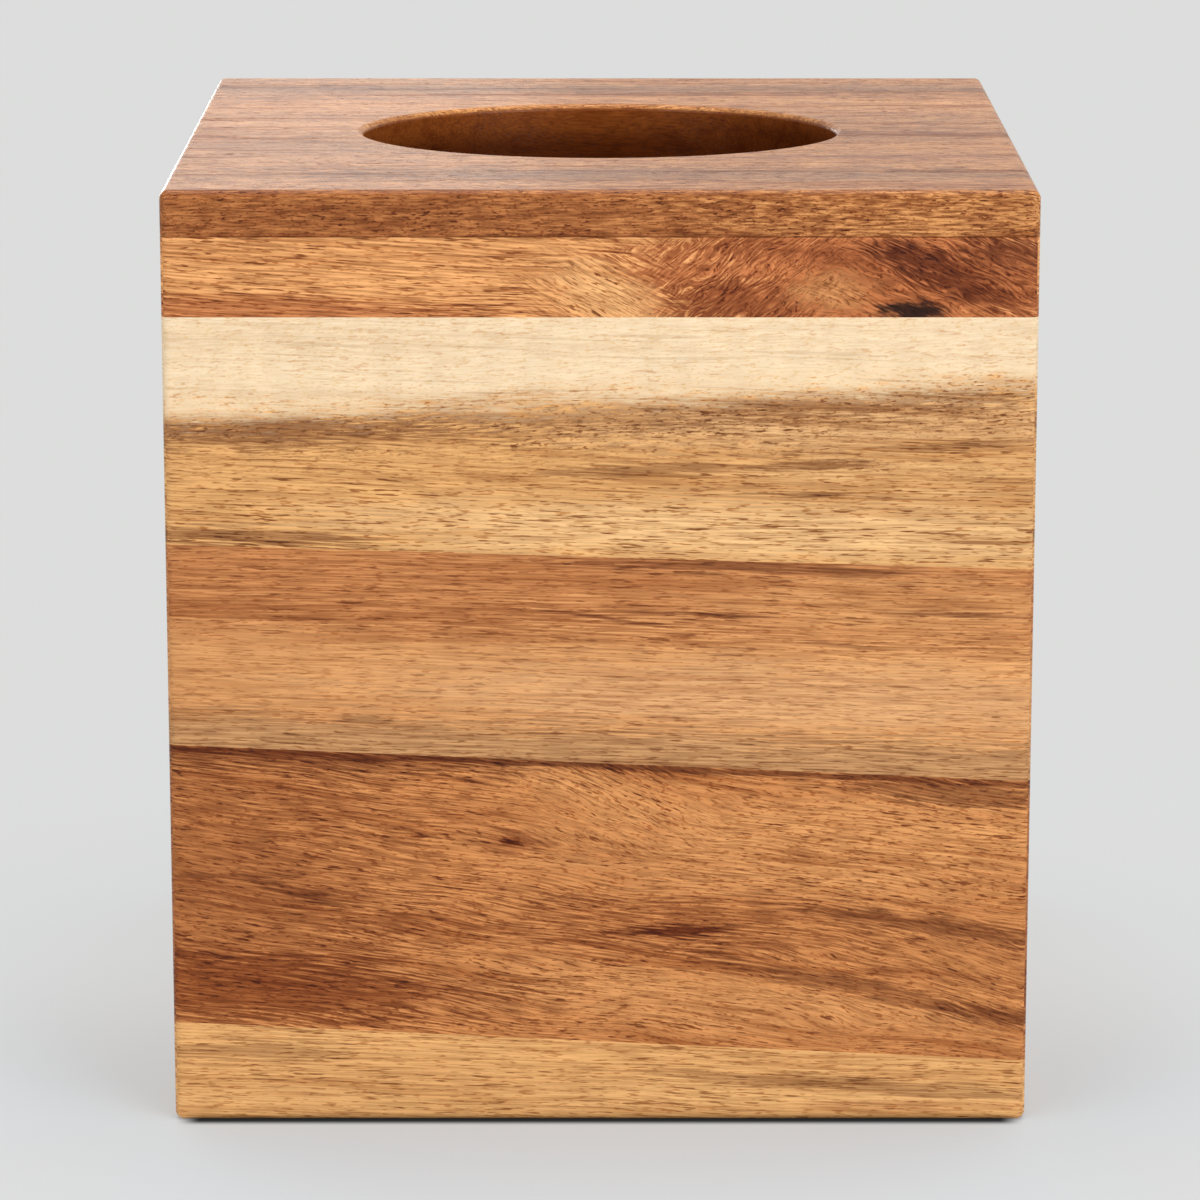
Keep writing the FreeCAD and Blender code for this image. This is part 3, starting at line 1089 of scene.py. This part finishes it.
class TISSUE_COVER_OT_dress_dark_staves(bpy.types.Operator):
    """Finish the broad dark staves"""

    bl_idname = "tissue_cover.dress_dark_staves"
    bl_label = "Dress Dark Staves"

    def execute(self, context):
        dress_staves(context.scene, "dark", DARK_BOARD)
        return {"FINISHED"}


class TISSUE_COVER_OT_dress_foot_staves(bpy.types.Operator):
    """Finish the narrow staves at the bottom"""

    bl_idname = "tissue_cover.dress_foot_staves"
    bl_label = "Dress Foot Staves"

    def execute(self, context):
        dress_staves(context.scene, "foot", FOOT_BOARD)
        return {"FINISHED"}


def seen_share(writer):
    """1 where a camera, glossy or transmission ray looks, and 0 for the light that a surface scatters."""
    path = writer.add("ShaderNodeLightPath").outputs
    seen = writer.math("MAXIMUM", path["Is Camera Ray"], path["Is Glossy Ray"])
    return writer.math("MAXIMUM", seen, path["Is Transmission Ray"])


# Where the floor's tones change: along Y from the middle, and else out from the walls, in metres
SHADE_FADE = (-0.06, 0.03)
PAINTED_CONTACT_END = (-0.004, 0.0)
INSIDE_EDGE = (-0.006, -0.004)
TINT_FADE = (-0.02, 0.03)

# How much of the front's shade lies at the back, and how dark the painted contact shadow is
BACK_SHADE_SHARE = 0.4
PAINTED_CONTACT_DARKNESS = 0.95


def floor_material(settings):
    """A pale floor with part of the object's shade, which fades away from it, and a painted contact shadow:
    a dark line along the front and back walls.
    """
    material = bpy.data.materials.new("pale_floor")
    writer = fresh_nodes(material)
    right, back, _ = writer.split(writer.add("ShaderNodeTexCoord").outputs["Object"])
    front_share = settings.shadow_share
    shade_share = writer.ramp(back, *SHADE_FADE, start=front_share, end=BACK_SHADE_SHARE * front_share)
    right = writer.math("ABSOLUTE", right)
    back = writer.math("ABSOLUTE", back)
    right = writer.math("SUBTRACT", right, CAD_BOX[1].x)
    back = writer.math("SUBTRACT", back, CAD_BOX[1].y)
    outside = writer.math("MAXIMUM", right, back)
    # Painted contact shadow: dark along the front and back walls, fading out within the contact reach
    before_wall = writer.ramp(right, *PAINTED_CONTACT_END, start=1.0, end=0.0)
    near_wall = writer.ramp(back, 0.0, settings.painted_contact_reach, start=PAINTED_CONTACT_DARKNESS, end=0.0)
    open_share = writer.ramp(outside, *INSIDE_EDGE)
    painted_contact_shadow = writer.math("MULTIPLY", before_wall, near_wall)
    painted_contact_shadow = writer.math("MULTIPLY", painted_contact_shadow, open_share)
    painted_contact_shadow = writer.math("SUBTRACT", 1.0, painted_contact_shadow)
    # Painted light: the floor is bluer beside and before the walls, against the warm light that the wood
    # throws on it
    beside_share = writer.ramp(right, *TINT_FADE, start=1.0, end=0.0)
    before_share = writer.ramp(back, *TINT_FADE, start=1.0, end=0.0)
    tint_share = writer.math("MAXIMUM", beside_share, before_share)
    shade = writer.mix(tint_share, opaque(settings.corner_colour), opaque(settings.shade_colour))
    shade = writer.tint(1.0, shade, painted_contact_shadow)
    # The painted contact shadow darkens the evenly bright floor as well
    bright = writer.tint(1.0, opaque(settings.floor_colour), painted_contact_shadow)
    lit = writer.add("ShaderNodeBsdfDiffuse", {"Color": shade}).outputs["BSDF"]
    even = writer.add("ShaderNodeEmission", {"Color": bright}).outputs["Emission"]
    near_share = writer.ramp(outside, 0.0, settings.shadow_reach, start=1.0, end=0.0)
    even_share = writer.math("SUBTRACT", 1.0, writer.math("MULTIPLY", near_share, shade_share))
    even_share = writer.math("MULTIPLY", even_share, open_share)
    share = writer.math("MULTIPLY", seen_share(writer), even_share)
    both = writer.add("ShaderNodeMixShader", {0: share, 1: lit, 2: even})
    writer.add("ShaderNodeOutputMaterial", {"Surface": both.outputs["Shader"]})
    return material


def make_floor(settings):
    """A wide flat floor under the object, which belongs to the stage."""
    mesh = bpy.data.meshes.new("floor")
    shape = bmesh.new()
    bmesh.ops.create_grid(shape, x_segments=4, y_segments=4, size=settings.floor_size)
    shape.to_mesh(mesh)
    shape.free()
    mesh.materials.append(floor_material(settings))
    floor = bpy.data.objects.new("floor", mesh)
    bpy.context.scene.collection.objects.link(floor)


def make_sky(settings):
    """Even light from all sides, in the floor's colour where it is seen."""
    world = bpy.data.worlds.new("studio_sky")
    bpy.context.scene.world = world
    writer = fresh_nodes(world)
    inputs = {"Color": (1.0, 1.0, 1.0, 1.0), "Strength": settings.sky_strength}
    light = writer.add("ShaderNodeBackground", inputs).outputs["Background"]
    inputs = {"Color": opaque(settings.floor_colour)}
    backdrop = writer.add("ShaderNodeBackground", inputs).outputs["Background"]
    both = writer.add("ShaderNodeMixShader", {0: seen_share(writer), 1: light, 2: backdrop})
    writer.add("ShaderNodeOutputWorld", {"Surface": both.outputs["Shader"]})


def make_lamp(name, place, width, height, power):
    """A soft rectangular lamp that points at the middle of the object."""
    lamp = bpy.data.lights.new(name, "AREA")
    lamp.shape = "RECTANGLE"
    lamp.size = width
    lamp.size_y = height
    lamp.energy = power
    holder = bpy.data.objects.new(name, lamp)
    holder.location = place
    middle = (CAD_BOX[0] + CAD_BOX[1]) / 2.0
    holder.rotation_euler = (middle - Vector(place)).to_track_quat("-Z", "Y").to_euler()
    bpy.context.scene.collection.objects.link(holder)


def make_camera(settings):
    """The camera in front of the object, looking a little down."""
    camera = bpy.data.cameras.new("camera")
    camera.lens = settings.camera_lens
    holder = bpy.data.objects.new("camera", camera)
    holder.location = (0.0, -settings.camera_distance, settings.camera_height)
    holder.rotation_euler = (math.radians(90.0) - settings.camera_pitch, 0.0, 0.0)
    bpy.context.scene.collection.objects.link(holder)
    bpy.context.scene.camera = holder


class TISSUE_COVER_OT_set_stage(bpy.types.Operator):
    """Set the floor, the soft light and the camera"""

    bl_idname = "tissue_cover.set_stage"
    bl_label = "Set Stage"

    def execute(self, context):
        settings = context.scene.tissue_cover_stage
        make_floor(settings)
        make_sky(settings)
        make_lamp("right_lamp", place=(0.9, -1.15, 0.5), width=0.9, height=0.8, power=settings.right_power)
        make_lamp("left_lamp", place=(-0.9, -1.15, 0.5), width=0.9, height=0.8, power=settings.left_power)
        make_lamp("top_lamp", place=(0.0, 0.1, 1.2), width=1.0, height=1.0, power=settings.top_power)
        make_lamp("sheen_lamp", place=(-0.5, 1.4, 0.38), width=1.0, height=0.45, power=settings.sheen_power)
        make_lamp("edge_lamp", place=(-0.5, 1.3, 0.16), width=0.4, height=0.2, power=settings.edge_power)
        make_camera(settings)
        context.scene.view_settings.view_transform = "Standard"
        return {"FINISHED"}


class TISSUE_COVER_PT_panel(bpy.types.Panel):
    """The settings and the steps, in order"""

    bl_idname = "TISSUE_COVER_PT_panel"
    bl_label = "Tissue Box Cover"
    bl_space_type = "VIEW_3D"
    bl_region_type = "UI"
    bl_category = "Tissue Cover"

    def draw(self, context):
        for pointer, group in SETTINGS.items():
            box = self.layout.box()
            box.label(text=group.__doc__)
            for name in group.__annotations__:
                box.prop(getattr(context.scene, pointer), name)
        for operator in OPERATORS:
            self.layout.operator(operator.bl_idname)


SETTINGS = {
    "tissue_cover_top": TopPanelWood,
    "tissue_cover_rim": RimWood,
    "tissue_cover_cream": CreamWood,
    "tissue_cover_amber": AmberWood,
    "tissue_cover_dark": DarkWood,
    "tissue_cover_foot": FootWood,
    "tissue_cover_finish": OilFinish,
    "tissue_cover_stage": StudioStage,
}

OPERATORS = (
    TISSUE_COVER_OT_dress_top_panel,
    TISSUE_COVER_OT_dress_rim_staves,
    TISSUE_COVER_OT_dress_cream_staves,
    TISSUE_COVER_OT_dress_amber_staves,
    TISSUE_COVER_OT_dress_dark_staves,
    TISSUE_COVER_OT_dress_foot_staves,
    TISSUE_COVER_OT_set_stage,
)


def register():
    """Adds the settings, the operators and the panel."""
    for pointer, group in SETTINGS.items():
        bpy.utils.register_class(group)
        setattr(bpy.types.Scene, pointer, PointerProperty(type=group))
    for operator in OPERATORS:
        bpy.utils.register_class(operator)
    bpy.utils.register_class(TISSUE_COVER_PT_panel)


def unregister():
    """Takes them out again, last first."""
    bpy.utils.unregister_class(TISSUE_COVER_PT_panel)
    for operator in reversed(OPERATORS):
        bpy.utils.unregister_class(operator)
    for pointer, group in reversed(SETTINGS.items()):
        delattr(bpy.types.Scene, pointer)
        bpy.utils.unregister_class(group)


def main():
    """Runs every step in order."""
    register()
    bpy.ops.tissue_cover.dress_top_panel()
    bpy.ops.tissue_cover.dress_rim_staves()
    bpy.ops.tissue_cover.dress_cream_staves()
    bpy.ops.tissue_cover.dress_amber_staves()
    bpy.ops.tissue_cover.dress_dark_staves()
    bpy.ops.tissue_cover.dress_foot_staves()
    bpy.ops.tissue_cover.set_stage()


if __name__ == "__main__":
    main()
